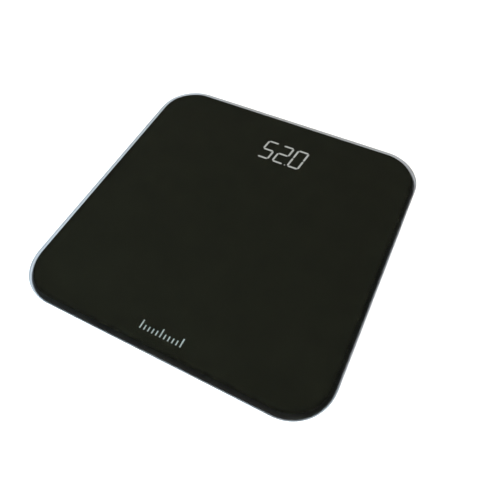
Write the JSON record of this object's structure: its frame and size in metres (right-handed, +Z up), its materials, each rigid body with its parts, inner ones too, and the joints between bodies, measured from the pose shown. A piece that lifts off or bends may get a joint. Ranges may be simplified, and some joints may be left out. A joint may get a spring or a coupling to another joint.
{
  "type": "digital bathroom scale",
  "caption": "Electronic bathroom scale: a square black glass platform with rounded corners on load-cell feet, lit digits near its rear edge, a battery door below",
  "frame": {"origin": "on the floor, under the centre of the platform", "axes": "+Z up out of the platform; the user stands at -Y and the digits are near the +Y edge; +X is the user's right"},
  "size_m": [0.3, 0.3, 0.024],
  "materials": {
    "black_glass": "polished clear glass, printed black behind",
    "black_abs": "fine moulded texture",
    "grey_abs": "satin moulded",
    "rubber": "matt",
    "foam": "double-sided foam tape",
    "steel": "stamped",
    "nickel": "nickel plated",
    "lead_grey": "sleeved lead",
    "lead_red": "insulated lead",
    "board_green": "solder mask",
    "display_white": "moulded, white",
    "smoked_film": "smoked film",
    "cell_label": "printed sleeve over a steel can"
  },
  "bodies": {
    "base": {"glass_platform": "black_glass", "foot_housing_front_left": "black_abs", "foot_housing_front_right": "black_abs", "foot_housing_rear_left": "black_abs", "foot_housing_rear_right": "black_abs", "lead_cover_front_left": "black_abs", "lead_cover_front_right": "black_abs", "lead_cover_rear_left": "black_abs", "lead_cover_rear_right": "black_abs", "module_frame": "black_abs", "module_shell": "black_abs", "foot_ring_front_left": "grey_abs", "foot_ring_front_right": "grey_abs", "foot_ring_rear_left": "grey_abs", "foot_ring_rear_right": "grey_abs", "pod_tape_front_left": "foam", "pod_tape_front_right": "foam", "pod_tape_rear_left": "foam", "pod_tape_rear_right": "foam", "module_tape": "foam", "load_cell_front_left": "steel", "load_cell_front_right": "steel", "load_cell_rear_left": "steel", "load_cell_rear_right": "steel", "unit_switch": "steel", "module_screw_front_left": "nickel", "module_screw_front_right": "nickel", "module_screw_rear_left": "nickel", "module_screw_rear_right": "nickel", "contact_negative": "nickel", "contact_link_left": "nickel", "contact_link_right": "nickel", "contact_positive": "nickel", "load_cell_lead_front_left": "lead_grey", "load_cell_lead_front_right": "lead_grey", "load_cell_lead_rear_left": "lead_grey", "load_cell_lead_rear_right": "lead_grey", "battery_lead_negative": "lead_grey", "battery_lead_positive": "lead_red", "main_board": "board_green", "display_block": "display_white", "display_film": "smoked_film", "battery_1": "cell_label", "battery_2": "cell_label", "battery_3": "cell_label"},
    "foot_front_left": {"foot_front_left": "black_abs", "foot_pad_front_left": "rubber"},
    "foot_front_right": {"foot_front_right": "black_abs", "foot_pad_front_right": "rubber"},
    "foot_rear_left": {"foot_rear_left": "black_abs", "foot_pad_rear_left": "rubber"},
    "foot_rear_right": {"foot_rear_right": "black_abs", "foot_pad_rear_right": "rubber"},
    "battery_door": {"battery_door": "black_abs"},
    "unit_button": {"unit_button": "grey_abs"}
  },
  "joints": [
    {"name": "foot_travel_front_left", "type": "slide", "parent": "base", "child": "foot_front_left", "axis": [0, 0, 1], "range_m": [0, 0.0005], "stiffness_N_per_m": 10000, "springref_m": -0.001, "deforming": ["load_cell_front_left"]},
    {"name": "foot_travel_front_right", "type": "slide", "parent": "base", "child": "foot_front_right", "axis": [0, 0, 1], "range_m": [0, 0.0005], "stiffness_N_per_m": 10000, "springref_m": -0.001, "deforming": ["load_cell_front_right"]},
    {"name": "foot_travel_rear_left", "type": "slide", "parent": "base", "child": "foot_rear_left", "axis": [0, 0, 1], "range_m": [0, 0.0005], "stiffness_N_per_m": 10000, "springref_m": -0.001, "deforming": ["load_cell_rear_left"]},
    {"name": "foot_travel_rear_right", "type": "slide", "parent": "base", "child": "foot_rear_right", "axis": [0, 0, 1], "range_m": [0, 0.0005], "stiffness_N_per_m": 10000, "springref_m": -0.001, "deforming": ["load_cell_rear_right"]},
    {"name": "battery_door_hinge", "type": "hinge", "parent": "base", "child": "battery_door", "pos_m": [0, 0.0754, 0.005], "axis": [1, 0, 0], "range_deg": [0, 95]},
    {"name": "unit_button_press", "type": "slide", "parent": "base", "child": "unit_button", "axis": [0, 0, 1], "range_m": [0, 0.0008], "stiffness_N_per_m": 1500, "springref_m": -0.0003}
  ]
}
